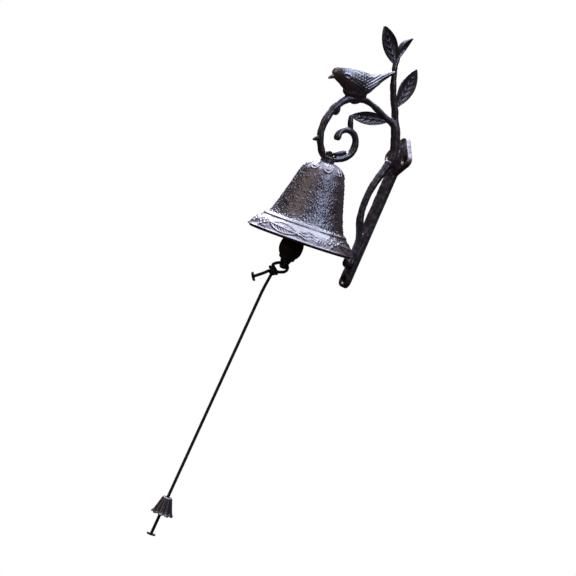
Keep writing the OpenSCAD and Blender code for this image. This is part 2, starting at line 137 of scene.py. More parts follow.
# Sand-cast iron under brown-black lacquer: near black in shade, a wide soft sheen where it faces the
# sky, and a grain left by the moulding sand. Sizes are in millimetres. Real sand is about 0.3 mm, and
# is drawn three times coarser here so that it shows.
def lacqueredIron(name, look):
    material, tree, shader = newMaterial(name)
    where = addNode(tree, "ShaderNodeTexCoord").outputs["Object"]
    grain = addNode(tree, "ShaderNodeTexNoise",
                    {"Scale": 1 / (look["grain"] * mm), "Detail": 3.0, "Roughness": 0.55}, {"Vector": where})
    pebble = addNode(tree, "ShaderNodeTexVoronoi",
                     {"feature": "SMOOTH_F1", "Scale": 1 / (look["pebble"] * mm), "Smoothness": 0.6,
                      "Randomness": 1.0}, {"Vector": where})
    patches = addNode(tree, "ShaderNodeTexNoise",
                      {"Scale": 1 / (look["patch"] * mm), "Detail": 4.0, "Roughness": 0.6}, {"Vector": where})
    tone = addNode(tree, "ShaderNodeValToRGB", links={"Fac": patches.outputs["Fac"]},
                   stops=[(0.32, linear(look["dark"])), (0.56, linear(look["middle"])),
                          (0.78, linear(look["warm"]))])
    gloss = addNode(tree, "ShaderNodeValToRGB", links={"Fac": patches.outputs["Fac"]},
                    stops=[(0.3, grey(look["smoothest"])), (0.75, grey(look["roughest"]))])
    stones = addNode(tree, "ShaderNodeBump",
                     {"Strength": look["pebbleDepth"], "Distance": 0.25 * mm, "invert": True},
                     {"Height": pebble.outputs["Distance"]})
    sand = addNode(tree, "ShaderNodeBump", {"Strength": look["grainDepth"], "Distance": 0.18 * mm},
                   {"Height": grain.outputs["Fac"], "Normal": stones.outputs["Normal"]})
    coatShader(tree, shader, tone, gloss, sand)
    shader.inputs["Specular IOR Level"].default_value = look["shine"]
    shader.inputs["Coat Weight"].default_value = look["coat"]
    shader.inputs["Coat Roughness"].default_value = look["coatRoughness"]
    return material


ironLook = {"dark": "1a1212", "middle": "251a1a", "warm": "402822", "grain": 0.9, "pebble": 2.2, "patch": 14,
            "grainDepth": 0.25, "pebbleDepth": 0.15, "smoothest": 0.3, "roughest": 0.48, "shine": 0.8,
            "coat": 0.7, "coatRoughness": 0.28}
branchIron = lacqueredIron("lacquered cast iron, branches", {**ironLook, "pebble": 1.8, "pebbleDepth": 0.3,
                                                             "roughest": 0.55, "shine": 0.6, "coat": 0.45})
leafIron = lacqueredIron("lacquered cast iron, leaves", {**ironLook, "pebble": 1.6, "grainDepth": 0.14,
                                                         "pebbleDepth": 0.06, "roughest": 0.55,
                                                         "shine": 0.55, "coat": 0.35})
birdIron = lacqueredIron("lacquered cast iron, bird", {**ironLook, "middle": "2e2324", "grainDepth": 0.2,
                                                       "pebbleDepth": 0.06, "smoothest": 0.34,
                                                       "roughest": 0.46, "shine": 1.0, "coat": 1.0})
bellIron = lacqueredIron("lacquered cast iron, bell", {**ironLook, "middle": "2a1e1f", "grainDepth": 0.32,
                                                       "pebble": 1.7, "pebbleDepth": 0.5})
weightIron = lacqueredIron("lacquered cast iron, pull weight", {**ironLook, "pebble": 1.2, "warm": "5a4038",
                                                                "grainDepth": 0.2, "pebbleDepth": 0.1})


# Black paint over cast iron: a flat deep black with a faint satin bloom and a sandy skin.
def paintedIron(name):
    material, tree, shader = newMaterial(name)
    where = addNode(tree, "ShaderNodeTexCoord").outputs["Object"]
    skin = addNode(tree, "ShaderNodeTexNoise", {"Scale": 1 / (1.1 * mm), "Detail": 4.0}, {"Vector": where})
    bloom = addNode(tree, "ShaderNodeTexNoise", {"Scale": 1 / (9 * mm), "Detail": 3.0}, {"Vector": where})
    tone = addNode(tree, "ShaderNodeValToRGB", links={"Fac": bloom.outputs["Fac"]},
                   stops=[(0.3, linear("0b0a0a")), (0.7, linear("1a1715"))])
    gloss = addNode(tree, "ShaderNodeValToRGB", links={"Fac": bloom.outputs["Fac"]},
                    stops=[(0.3, grey(0.5)), (0.7, grey(0.7))])
    bump = addNode(tree, "ShaderNodeBump", {"Strength": 0.3, "Distance": 0.15 * mm},
                   {"Height": skin.outputs["Fac"]})
    coatShader(tree, shader, tone, gloss, bump)
    return material


# Blackened mild steel: turned and bent stock with a thin dark oxide, worn to grey in streaks. The
# streaks are drawn wider than real drawing marks so that they show.
def blackenedSteel(name):
    material, tree, shader = newMaterial(name)
    where = addNode(tree, "ShaderNodeTexCoord").outputs["Object"]
    stretch = addNode(tree, "ShaderNodeMapping", {"Scale": (1.0, 1.0, 0.15)}, {"Vector": where})
    streaks = addNode(tree, "ShaderNodeTexNoise", {"Scale": 1 / (0.5 * mm), "Detail": 3.0},
                      {"Vector": stretch.outputs["Vector"]})
    wear = addNode(tree, "ShaderNodeTexNoise", {"Scale": 1 / (4 * mm), "Detail": 3.0}, {"Vector": where})
    tone = addNode(tree, "ShaderNodeValToRGB", links={"Fac": wear.outputs["Fac"]},
                   stops=[(0.35, linear("2b2624")), (0.65, linear("5b5551"))])
    gloss = addNode(tree, "ShaderNodeValToRGB", links={"Fac": streaks.outputs["Fac"]},
                    stops=[(0.3, grey(0.3)), (0.7, grey(0.5))])
    bump = addNode(tree, "ShaderNodeBump", {"Strength": 0.2, "Distance": 0.05 * mm},
                   {"Height": streaks.outputs["Fac"]})
    coatShader(tree, shader, tone, gloss, bump)
    shader.inputs["Metallic"].default_value = 1.0
    return material


# Waxed braided cord: black yarn that crosses in two directions. Its colour is painted: darker in the grooves
# between yarns as painted shade and lighter on the crowns as painted sheen, and the crowns are also a little
# smoother.
# There are four yarns each way where a real braid has eight, so that they show.
yarn = {"strands": 4, "pitch": 1.6, "dark": "040404", "crownSheen": "0c0c0e", "height": 0.2, "strength": 0.25}


def waxedCord(name, length):
    material, tree, shader = newMaterial(name)
    along = addNode(tree, "ShaderNodeUVMap").outputs["UV"]
    split = addNode(tree, "ShaderNodeSeparateXYZ", links={"Vector": along})
    crossings = length / (yarn["pitch"] * mm)
    down = addNode(tree, "ShaderNodeMath", {"operation": "MULTIPLY", 1: 2 * math.pi * crossings},
                   {0: split.outputs["X"]})
    about = addNode(tree, "ShaderNodeMath", {"operation": "MULTIPLY", 1: 2 * math.pi * yarn["strands"]},
                    {0: split.outputs["Y"]})
    waves = []
    for sign in ("ADD", "SUBTRACT"):
        slant = addNode(tree, "ShaderNodeMath", {"operation": sign},
                        {0: about.outputs[0], 1: down.outputs[0]})
        waves.append(addNode(tree, "ShaderNodeMath", {"operation": "COSINE"}, {0: slant.outputs[0]}))
    braid = addNode(tree, "ShaderNodeMath", {"operation": "MULTIPLY"},
                    {0: waves[0].outputs[0], 1: waves[1].outputs[0]})
    # painted shade and painted sheen: the colour follows the braid's relief, darker in the grooves between
    # yarns and lighter on the crowns
    tone = addNode(tree, "ShaderNodeValToRGB", links={"Fac": braid.outputs[0]},
                   stops=[(0.0, linear(yarn["dark"])), (1.0, linear(yarn["crownSheen"]))])
    gloss = addNode(tree, "ShaderNodeValToRGB", links={"Fac": braid.outputs[0]},
                    stops=[(0.0, grey(0.85)), (1.0, grey(0.72))])
    bump = addNode(tree, "ShaderNodeBump", {"Strength": yarn["strength"], "Distance": yarn["height"] * mm},
                   {"Height": braid.outputs[0]})
    coatShader(tree, shader, tone, gloss, bump)
    return material


# The cord's melted ends: the same black yarn run together, smoother and glossier than the braid.
def meltedCord(name):
    material, tree, shader = newMaterial(name)
    where = addNode(tree, "ShaderNodeTexCoord").outputs["Object"]
    lumps = addNode(tree, "ShaderNodeTexNoise", {"Scale": 1 / (1.4 * mm), "Detail": 2.0}, {"Vector": where})
    tone = addNode(tree, "ShaderNodeValToRGB", links={"Fac": lumps.outputs["Fac"]},
                   stops=[(0.3, linear("060607")), (0.7, linear("151517"))])
    gloss = addNode(tree, "ShaderNodeValToRGB", links={"Fac": lumps.outputs["Fac"]},
                    stops=[(0.3, grey(0.35)), (0.7, grey(0.6))])
    bump = addNode(tree, "ShaderNodeBump", {"Strength": 0.5, "Distance": 0.2 * mm},
                   {"Height": lumps.outputs["Fac"]})
    coatShader(tree, shader, tone, gloss, bump)
    return material


clapperBlack = paintedIron("black painted cast iron")
darkSteel = blackenedSteel("blackened mild steel")
meltedBlack = meltedCord("melted black cord")
print("materials mixed")


def middle(node):
    low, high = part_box(node)
    return (low + high) / 2


def smoothCurve(points, steps):                 # a Catmull-Rom curve through every point
    pts = [Vector(p) for p in points]
    run = []
    for i in range(len(pts) - 1):
        a, b, c, d = pts[max(i - 1, 0)], pts[i], pts[i + 1], pts[min(i + 2, len(pts) - 1)]
        for k in range(steps):
            t = k / steps
            run.append(0.5 * (2 * b + (c - a) * t + (2 * a - 5 * b + 4 * c - d) * t * t
                              + (3 * b - a - 3 * c + d) * t ** 3))
    return run + [pts[-1]]


def resample(points, count):                    # evenly spaced points along an outline of (radius, height)
    steps = [0]
    for a, b in zip(points, points[1:]):
        steps.append(steps[-1] + math.hypot(b[0] - a[0], b[1] - a[1]))
    marks = np.linspace(0, steps[-1], count)
    return list(zip(np.interp(marks, steps, [p[0] for p in points]),
                    np.interp(marks, steps, [p[1] for p in points])))


def rounded(outline, steps, count):
    return resample([(p.x, p.y) for p in smoothCurve([(r, z, 0) for r, z in outline], steps)], count)


def spinShape(outline, spokes):                 # a closed outline of (radius, height) in mm, turned round
    shape = bmesh.new()
    chain = [shape.verts.new((r * mm, 0, z * mm)) for r, z in outline]
    edges = [shape.edges.new((a, b)) for a, b in zip(chain, chain[1:] + chain[:1])]
    bmesh.ops.spin(shape, geom=chain + edges, axis=(0, 0, 1), cent=(0, 0, 0), angle=2 * math.pi,
                   steps=spokes, use_merge=True, dvec=(0, 0, 0))
    bmesh.ops.remove_doubles(shape, verts=shape.verts, dist=mergeGap)
    bmesh.ops.recalc_face_normals(shape, faces=shape.faces)
    return shape


def nodeCopy(*nodes):
    shape = bmesh.new()
    for node in nodes:
        shape.from_mesh(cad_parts[node].data)
    bmesh.ops.remove_doubles(shape, verts=shape.verts, dist=mergeGap)
    return shape


# One closed skin round everything in shape, with the joins run together as a casting's are
def castSkin(shape, voxel, relax):
    data = bpy.data.meshes.new("blank")
    shape.to_mesh(data)
    shape.free()
    blank = bpy.data.objects.new("blank", data)
    scene.collection.objects.link(blank)
    remesh = blank.modifiers.new("skin", "REMESH")
    remesh.mode = "VOXEL"
    remesh.voxel_size = voxel * mm
    soften = blank.modifiers.new("soften", "SMOOTH")
    soften.factor = 0.5
    soften.iterations = relax
    skin = bmesh.new()
    skin.from_object(blank, bpy.context.evaluated_depsgraph_get())
    bpy.data.objects.remove(blank)
    return skin


# Moves each vertex along its normal by depth(place, normal), with the place and the depth in millimetres
def pushOut(shape, depth):
    shape.normal_update()
    moves = [vert.normal * depth(vert.co / mm, vert.normal) * mm for vert in shape.verts]
    for vert, move in zip(shape.verts, moves):
        vert.co += move


def ridge(distance, width):                     # 1 on a line, falling softly to 0 beside it
    return math.exp(-(distance / width) ** 2)


def addPiece(name, shape, body, material, nodes):
    data = bpy.data.meshes.new(name)
    shape.to_mesh(data)
    shape.free()
    data.materials.append(material)
    data.polygons.foreach_set("use_smooth", [True] * len(data.polygons))
    piece = bpy.data.objects.new(name, data)
    scene.collection.objects.link(piece)
    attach(piece, body)
    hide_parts(*nodes)
    print(name, len(data.polygons), "faces")
    return piece


# Cords: routes in millimetres, the pull cord's as (y, z) because it hangs in the plane x = 0
cordSize = {"diameter": 3, "sides": 5, "knotSteps": 5}
pullRoute = [(-81.2, -151.2), (-81.7, -156), (-82.4, -162.6)] + [
    (-83 - 0.2 * k, -170 - 9 * k) for k in range(29)]
knotRoute = [
    (0, -81.2, -150.2), (0, -80.8, -148.4), (0, -79.2, -146.9), (0, -76, -146.7), (0, -72.4, -145.7),
    (0, -69, -144), (0, -67.4, -141.6), (0, -67.8, -139), (0, -69.8, -137.5), (0, -73, -137.3),
    (0, -76.4, -137.3), (0, -79.4, -138.5), (0.4, -82.6, -140.4), (1.3, -84.4, -142.3), (2.8, -83, -144),
    (3.3, -80.4, -145.9), (2.6, -78, -147.6), (0.4, -76.6, -148.8), (-2.2, -78, -148.6), (-3.1, -81, -146.8),
    (-2.4, -83.8, -145.2), (-0.2, -85.2, -145.3), (2.2, -84, -147), (3, -81.6, -148.7), (1.8, -79.8, -149.9),
    (-1.2, -79.8, -150.2), (-2.6, -82, -149.6), (-1.6, -84.6, -149.2), (0, -88.2, -151.8), (0, -91.6, -154.6),
    (0, -95, -157.2), (0, -97.7, -159.3)]
# The knot under the weight is wound round the pull cord from a softer, flattened turn of it
winding = {"diameter": 2.5, "radius": 1.75, "top": 1.5, "drop": 0.42, "step": 0.35, "points": 22}
# Each melted end is pressed into a flat bar across the cord; way is the cord's direction there, (y, z)
cordTip = {"long": 9.2, "wide": 3.6, "thick": 1.7, "cuts": 5, "taper": 0.8, "narrowest": 0.1,
           "lump": 2, "lumpDepth": 0.25, "droop": 0.35, "tailWay": (-2.6, -2), "pullWay": (-0.2, -9)}


def cordPiece(name, route, diameter, body, nodes):
    points = [Vector(p) * mm for p in route]
    length = sum((b - a).length for a, b in zip(points, points[1:]))
    line = bpy.data.curves.new(name, "CURVE")
    line.dimensions = "3D"
    line.bevel_depth = diameter / 2 * mm
    line.bevel_resolution = cordSize["sides"]
    line.use_fill_caps = True
    spline = line.splines.new("POLY")
    spline.points.add(len(points) - 1)
    for spot, point in zip(spline.points, points):
        spot.co = (*point, 1)
    spline.use_smooth = True
    line.materials.append(waxedCord(name + " waxed cord", length))
    piece = bpy.data.objects.new(name, line)
    scene.collection.objects.link(piece)
    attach(piece, body)
    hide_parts(*nodes)
    return piece, length


def cordEnd(name, node, body, way):
    tip = cordTip
    shape = bmesh.new()
    bmesh.ops.create_cube(shape, size=1)
    bmesh.ops.scale(shape, verts=shape.verts, vec=(tip["wide"] * mm, tip["long"] * mm, tip["thick"] * mm))
    bmesh.ops.subdivide_edges(shape, edges=shape.edges, cuts=tip["cuts"], use_grid_fill=True)
    for vert in shape.verts:
        end = abs(vert.co.y) / (tip["long"] * mm / 2)
        vert.co.x *= math.sqrt(max(1 - tip["taper"] * end ** 3, tip["narrowest"]))
        vert.co.z += tip["lumpDepth"] * mm * noise.noise(vert.co / (tip["lump"] * mm))
        vert.co.z -= tip["droop"] * mm * end ** 2
    bmesh.ops.smooth_vert(shape, verts=shape.verts, factor=0.5,
                          use_axis_x=True, use_axis_y=True, use_axis_z=True)
    bmesh.ops.subdivide_edges(shape, edges=shape.edges, cuts=1, use_grid_fill=True, smooth=0.4)
    place = Matrix.Translation(middle(node)) @ Matrix.Rotation(math.atan2(-way[0], way[1]), 4, "X")
    bmesh.ops.transform(shape, matrix=place, verts=shape.verts)
    bmesh.ops.recalc_face_normals(shape, faces=shape.faces)
    return addPiece(name, shape, body, meltedBlack, (node,))


def stopWinding():
    spot = middle("stop_knot") / mm
    turns = [winding["step"] * k for k in range(winding["points"])]
    return [(winding["radius"] * math.cos(a), spot.y + winding["radius"] * math.sin(a),
             spot.z + winding["top"] - winding["drop"] * a) for a in turns]


pullCord, pullLength = cordPiece("pullCord", [(0, y, z) for y, z in pullRoute], cordSize["diameter"], "cord",
                                 ("pull_cord",))
knotPath = [tuple(p) for p in smoothCurve(knotRoute, cordSize["knotSteps"])]
cordKnot, knotLength = cordPiece("cordKnot", knotPath, cordSize["diameter"], "cord_top",
                                 ("cord_loop", "cord_knot", "cord_tail"))
tailEnd = cordEnd("tailEnd", "tail_head", "cord_top", cordTip["tailWay"])
pullEnd = cordEnd("pullEnd", "end_head", "cord", cordTip["pullWay"])
stopKnot, stopLength = cordPiece("stopKnot", stopWinding(), winding["diameter"], "cord", ("stop_knot",))
print("cords: pull", round(pullLength, 3), "knot, loop and tail", round(knotLength, 3))

# Bracket casting: plate, branches, scroll, buds and perch in one skin, flat where it meets the wall
castingNodes = ("back_plate", "branch", "root_knob", "main_stem", "arch", "scroll_side", "scroll_curl",
                "bell_boss", "tendril", "thorn", "side_bud", "curl_bud", "arch_bud", "perch")
casting = {"voxel": 0.55, "relax": 9, "wave": 9, "waveDepth": 0.34, "lump": 3.8, "lumpDepth": 0.24,
           "flatBack": 0.3,
           # scars and swellings along the branches: y, z, radius and height
           "knots": [(-93.8, 3, 4.5, 0.5), (-60, -22.6, 4, 0.4), (-33, 29.6, 4, 0.5), (-20.5, 26, 5, 0.5),
                     (-16.9, -34, 4.5, 0.45), (-14, -70, 5, 0.5), (-47, 34, 3.5, 0.4), (-40, 60, 4, 0.4),
                     (-85, 30, 6, 0.9), (-66, 41, 4, 0.9), (-89.5, 19, 6, 0.4)]}


def buildCasting():
    shape = castSkin(nodeCopy(*castingNodes), casting["voxel"], casting["relax"])

    def depth(place, normal):
        out = casting["waveDepth"] * noise.noise(place / casting["wave"])
        out += casting["lumpDepth"] * noise.noise(place / casting["lump"])
        for y, z, radius, height in casting["knots"]:
            reach = math.hypot(place.y - y, place.z - z)
            if reach < 2 * radius:
                out += height * ridge(reach, radius)
        return out if place.y < -casting["flatBack"] else 0

    pushOut(shape, depth)
    return addPiece("bracketCasting", shape, "bracket", branchIron, castingNodes)


buildCasting()

# Leaves: rimmed blades with a midrib and side veins; sizes in millimetres, angles in degrees
leaves = {
    "leaf_top_front": {"piece": "leafTopFront", "length": 38.8, "width": 15.2, "lean": 44, "turn": 4,
                       "cup": 1.8, "bow": 0, "seed": 1},
    "leaf_top_rear": {"piece": "leafTopRear", "length": 25.4, "width": 14, "lean": -13.5, "turn": 42,
                      "cup": 1.5, "bow": -3.2, "seed": 2},
    "leaf_side": {"piece": "leafSide", "length": 40.5, "width": 15.4, "lean": -4.5, "turn": -4,
                  "cup": 1.8, "bow": 0, "seed": 3},
    "leaf_inner": {"piece": "leafInner", "length": 42.5, "width": 12.5, "lean": 104.8, "turn": 10,
                   "cup": 2.4, "bow": 0, "seed": 4},
}
leafBlade = {"across": 44, "along": 76, "stalk": 0.06, "shoulder": 1.05, "fullness": 0.75, "thick": 2.3,
             "rim": 1.3, "rimIn": 0.5, "rimWidth": 0.6, "rimHeight": 0.95, "rib": 0.9, "ribHeight": 1.25,
             "veins": 5, "vein": 0.8, "veinBend": 0.17, "veinHeight": 0.55, "sag": 1.0,
             "grain": 2, "grainDepth": 0.06}


def leafFace(leaf, side):
    cut = leafBlade
    grid = bmesh.new()
    bmesh.ops.create_grid(grid, x_segments=cut["across"], y_segments=cut["along"], size=1)
    for vert in grid.verts:
        v, u = vert.co.x, (vert.co.y + 1) / 2   # v from edge to edge, u from stalk to tip
        half = cut["stalk"] * leaf["width"]
        if 0 < u < 1:
            curve = math.sin(math.pi * u ** cut["shoulder"]) ** cut["fullness"]
            half = max(0.5 * curve, cut["stalk"]) * leaf["width"]
        swell = math.sin(math.pi * u)
        edge = half * (1 - abs(v))
        inside = 1 - ridge(edge, cut["rim"])
        height = cut["thick"] / 2 - cut["sag"] * inside * swell
        height += cut["rimHeight"] * ridge(edge - cut["rimIn"], cut["rimWidth"]) * swell
        height += cut["ribHeight"] * ridge(half * v, cut["rib"] * (1.25 - 0.6 * u)) * (1 - 0.5 * u)
        for k in range(cut["veins"]):           # each vein leaves the rib and sweeps towards the tip
            root = 0.1 + 0.8 * k / cut["veins"]
            bend = root + cut["veinBend"] * abs(v) + 0.06 * v * v
            height += cut["veinHeight"] * ridge((u - bend) * leaf["length"] * 0.75, cut["vein"]) * \
                min(half / 4, 1) * inside
        grain = Vector((half * v / cut["grain"], u * leaf["length"] / cut["grain"], leaf["seed"] * 7.3))
        height += cut["grainDepth"] * noise.noise(grain)
        curl = swell * (leaf["cup"] * (v * v - 0.5) + leaf["bow"])
        vert.co = Vector((curl + side * height, half * v, leaf["length"] * u)) * mm
    return grid


def buildLeaf(node, leaf):
    shape = leafFace(leaf, 1)
    other = leafFace(leaf, -1)
    spare = bpy.data.meshes.new("spare")
    other.to_mesh(spare)
    other.free()
    shape.from_mesh(spare)
    rims = [edge for edge in shape.edges if edge.is_boundary]
    bmesh.ops.bridge_loops(shape, edges=rims)
    bmesh.ops.recalc_face_normals(shape, faces=shape.faces)
    turn = Matrix.Rotation(math.radians(leaf["lean"]), 4, "X") @ \
        Matrix.Rotation(math.radians(leaf["turn"]), 4, "Z")
    bmesh.ops.transform(shape, matrix=turn, verts=shape.verts)
    cornersLow = Vector([min(v.co[i] for v in shape.verts) for i in range(3)])
    cornersHigh = Vector([max(v.co[i] for v in shape.verts) for i in range(3)])
    bmesh.ops.translate(shape, verts=shape.verts, vec=middle(node) - (cornersLow + cornersHigh) / 2)
    return addPiece(leaf["piece"], shape, "bracket", leafIron, (node,))


for node, leaf in leaves.items():
    buildLeaf(node, leaf)

# Bird: body and beak in one skin; places are (y, z) in millimetres, slopes in degrees
bird = {
    "voxel": 0.42, "relax": 7, "bellyTop": 43, "bellyFront": -95, "melt": 45,
    "grain": 1.3, "grainDepth": 0.04,
    "flank": 1.5,                               # how soon the relief fades where the flank turns to the back
    "swellings": [(-89, 39, 6, 1.1), (-66, 42, 5, 1.0)],    # breast and rump: y, z, radius and height
    "eye": {"spot": (-95.6, 48.2), "long": 2.9, "high": 1.5, "reach": 2.2, "lid": 1.15, "lidWidth": 0.3,
            "lidHeight": 0.85, "socket": 0.75, "socketDepth": 0.8, "pupil": 0.7, "pupilHeight": 1.0},
    "feathers": {"from": (-88, 50), "slope": 18, "long": 3.1, "wide": 2.8, "height": 0.85, "round": 0.35,
                 "sink": 0.4, "narrowing": 0.6, "patch": (-79, 47.5), "patchLong": 11, "patchHigh": 9},
    "wing": {"spot": (-65, 54), "slope": 46, "groove": 2.5, "depth": 0.7, "long": 11, "high": 6.5, "top": 5},
    "tail": {"from": -58, "slope": 0.95, "foot": 62, "turns": 3.2, "depth": 0.16},
    "beak": {"from": -103.5, "slit": (-106, 44.2), "slope": 0.55, "width": 0.28, "depth": 0.35},
}


def eyeRelief(y, z):                            # a raised almond lid, a sunk socket and a round pupil
    eye = bird["eye"]
    dy, dz = y - eye["spot"][0], z - eye["spot"][1]
    almond = math.hypot(dy / eye["long"], dz / eye["high"])
    if almond >= eye["reach"]:
        return 0
    return (eye["lidHeight"] * ridge(almond - eye["lid"], eye["lidWidth"])
            - eye["socketDepth"] * ridge(almond, eye["socket"])
            + eye["pupilHeight"] * ridge(math.hypot(dy, dz), eye["pupil"]))


def featherRelief(y, z):                        # offset rows, each feather rising to a round tip
    feathers = bird["feathers"]
    slope = math.radians(feathers["slope"])
    dy, dz = y - feathers["from"][0], z - feathers["from"][1]
    along = (dy * math.cos(slope) + dz * math.sin(slope)) / feathers["long"]
    across = (dz * math.cos(slope) - dy * math.sin(slope)) / feathers["wide"]
    row = math.floor(along)
    column = across + 0.5 * (row % 2)
    offCentre = 2 * (column - math.floor(column)) - 1
    step = along - row
    tip = step - feathers["round"] * (1 - offCentre ** 2)
    rise = 0.5 + 0.5 * math.cos(2 * math.pi * (tip - 0.5)) if tip > 0 else 0.3 * step
    patch = ridge((y - feathers["patch"][0]) / feathers["patchLong"], 1) * \
        ridge((z - feathers["patch"][1]) / feathers["patchHigh"], 1)
    return feathers["height"] * patch * (rise - feathers["sink"]) * \
        (1 - feathers["narrowing"] * offCentre ** 4)


def wingRelief(y, z):                           # long grooves up the wing, gone before they reach the back
    wing = bird["wing"]
    lift = math.radians(wing["slope"])
    dy, dz = y - wing["spot"][0], z - wing["spot"][1]
    reach = dy * math.cos(lift) + dz * math.sin(lift)
    rank = dz * math.cos(lift) - dy * math.sin(lift)
    window = ridge(reach / wing["long"], 1) * ridge(rank / wing["high"], 1)
    window /= 1 + math.exp(2 * (rank - wing["top"]))
    return wing["depth"] * window * math.cos(2 * math.pi * rank / wing["groove"])


def buildBird():
    tail, beak = bird["tail"], bird["beak"]
    shape = castSkin(nodeCopy("bird", "bird_beak", "perch"), bird["voxel"], bird["relax"])
    belly = [vert for vert in shape.verts
             if vert.co.z < bird["bellyTop"] * mm and vert.co.y > bird["bellyFront"] * mm]
    for turn in range(bird["melt"]):            # the belly runs down into the perch without a join
        bmesh.ops.smooth_vert(shape, verts=belly, factor=0.5,
                              use_axis_x=True, use_axis_y=True, use_axis_z=True)

    def depth(place, normal):
        facing = min(abs(normal.x) * bird["flank"], 1) ** 2
        y, z = place.y, place.z
        out = bird["grainDepth"] * noise.noise(place / bird["grain"])
        for swellY, swellZ, radius, height in bird["swellings"]:
            out += height * ridge(math.hypot(y - swellY, z - swellZ), radius)
        out += facing * (eyeRelief(y, z) + featherRelief(y, z) + wingRelief(y, z))
        if y > tail["from"]:
            out += facing * tail["depth"] * math.cos(
                (z - tail["slope"] * (y - tail["from"]) - tail["foot"]) * tail["turns"])
        if y < beak["from"]:
            out -= facing * beak["depth"] * ridge(
                z - beak["slit"][1] - beak["slope"] * (y - beak["slit"][0]), beak["width"])
        return out

    pushOut(shape, depth)
    return addPiece("castBird", shape, "bracket", birdIron, ("bird", "bird_beak"))


buildBird()

# Bell: a spun shell with crown petals, a pitted waist, a bead and an ornamented band, in millimetres
bell = {
    # outer profile from crown to rim, as shares of the mouth's radius and of the height
    "profile": [(0.055, 0), (0.16, 0), (0.25, 0.02), (0.325, 0.055), (0.38, 0.105), (0.42, 0.165),
                (0.455, 0.24), (0.493, 0.34), (0.542, 0.46), (0.595, 0.58), (0.645, 0.68), (0.702, 0.765),
                (0.757, 0.803), (0.8955, 0.9013), (1, 1)],
    "wall": 3, "roof": 4.5, "lip": 0.35, "lipRise": 0.15, "rings": 150, "spokes": 500, "innerStep": 9,
    "seat": 6.8, "lump": 6, "lumpDepth": 0.3, "grain": 2.1, "grainDepth": 0.1,
    "bandTop": 15, "bandRadius": 0.875, "bead": 0.8, "beadWidth": 0.75,
    "rimBead": 0.35, "rimBeadUp": 0.9, "rimBeadWidth": 0.7,
    "pitTop": 14, "pit": 2.2, "pitDepth": 1.0, "pitEdge": 0.55, "pitSink": 0.2,
    "petals": {"count": 9, "end": 27, "past": 3, "start": 3, "notch": 0.42, "height": 0.5, "rib": 0.6,
               "edge": 0.6, "edgeWidth": 0.7, "inner": 0.4, "innerWidth": 0.6, "innerGap": 4.5},
    # the band's ornament repeats in each sector, and "at" is in degrees from the sector's heart
    "ornament": {"sectors": 4, "first": 7, "middle": 9.4, "line": 0.62, "height": 0.75, "fullest": 1.2},
    "heart": {"at": 0, "apart": 3.3, "up": 1.4, "curl": 2.7, "dot": 0.9, "forkSlope": 0.4, "forkFoot": 5.6,
              "stem": 3.8, "stemLong": 1.9},
    "leaf": {"at": 30, "halfLong": 15.5, "halfWide": 5.6, "tilt": 0.1, "rib": 0.5, "ribHeight": 0.9,
             "margin": 1.2, "veinGap": 3.1, "veinLean": 1.1, "veinHeight": 0.8},
    "strokes": {"at": 60, "halfLong": 10, "apart": 3.3, "swing": 1.1, "turn": 1.9, "steep": 0.86},
    "hatching": {"at": -14, "halfLong": 4.5, "gap": 2.4, "bow": 0.09, "line": 0.55, "halfWide": 5},
}


def heartRelief(a, across):                     # two curls over a forked stem
    heart, line = bell["heart"], bell["ornament"]["line"]
    out = 0
    for side in (-1, 1):
        reach = math.hypot(a - side * heart["apart"], across - heart["up"])
        out += ridge(reach - heart["curl"], line) + ridge(reach, heart["dot"])
    fork = abs(a) - heart["forkSlope"] * (across + heart["forkFoot"])
    return out + ridge(fork, line) * ridge(across + heart["stem"], heart["stemLong"])


def leafRelief(a, across):                      # a leaf's outline, midrib and slanting veins
    leaf, line = bell["leaf"], bell["ornament"]["line"]
    if abs(a) >= leaf["halfLong"]:
        return 0
    tilt = across + leaf["tilt"] * a
    half = leaf["halfWide"] * (1 - (a / leaf["halfLong"]) ** 2)
    steep = math.hypot(1, 2 * leaf["halfWide"] * a / leaf["halfLong"] ** 2)
    out = ridge((abs(tilt) - half) / steep, line)
    out += leaf["ribHeight"] * ridge(tilt, leaf["rib"])
    if abs(tilt) < half - leaf["margin"]:
        vein = (a - leaf["veinLean"] * abs(tilt)) / leaf["veinGap"]
        out += leaf["veinHeight"] * ridge((vein - round(vein)) * leaf["veinGap"], leaf["rib"])
    return out


def strokeRelief(a, across):                    # three wavy strokes that fade at both ends
    strokes, line = bell["strokes"], bell["ornament"]["line"]
    if abs(a) >= strokes["halfLong"]:
        return 0
    out = 0
    for k in (-1, 0, 1):
        wave = strokes["apart"] * k + strokes["swing"] * math.sin(a / strokes["turn"] + k)
        out += ridge((across - wave) * strokes["steep"], line)
    return out * (1 - (a / strokes["halfLong"]) ** 4)


def hatchRelief(a, across):                     # curved lines side by side
    hatching = bell["hatching"]
    if abs(a) >= hatching["halfLong"]:
        return 0
    arc = (a + hatching["bow"] * across * across) / hatching["gap"]
    return ridge((arc - round(arc)) * hatching["gap"], hatching["line"]) * ridge(across, hatching["halfWide"])


# The band's relief at an angle in degrees and at slant mm above the rim, where the band is around mm long
def bandOrnament(angle, slant, around):
    ornament = bell["ornament"]
    pitch = 360 / ornament["sectors"]
    across = slant - ornament["middle"]
    out = 0
    for motif, relief in (("heart", heartRelief), ("leaf", leafRelief), ("strokes", strokeRelief),
                          ("hatching", hatchRelief)):
        turn = angle - ornament["first"] - bell[motif]["at"] + pitch / 2
        out += relief((turn % pitch - pitch / 2) * around / 360, across)
    return ornament["height"] * min(out, ornament["fullest"])


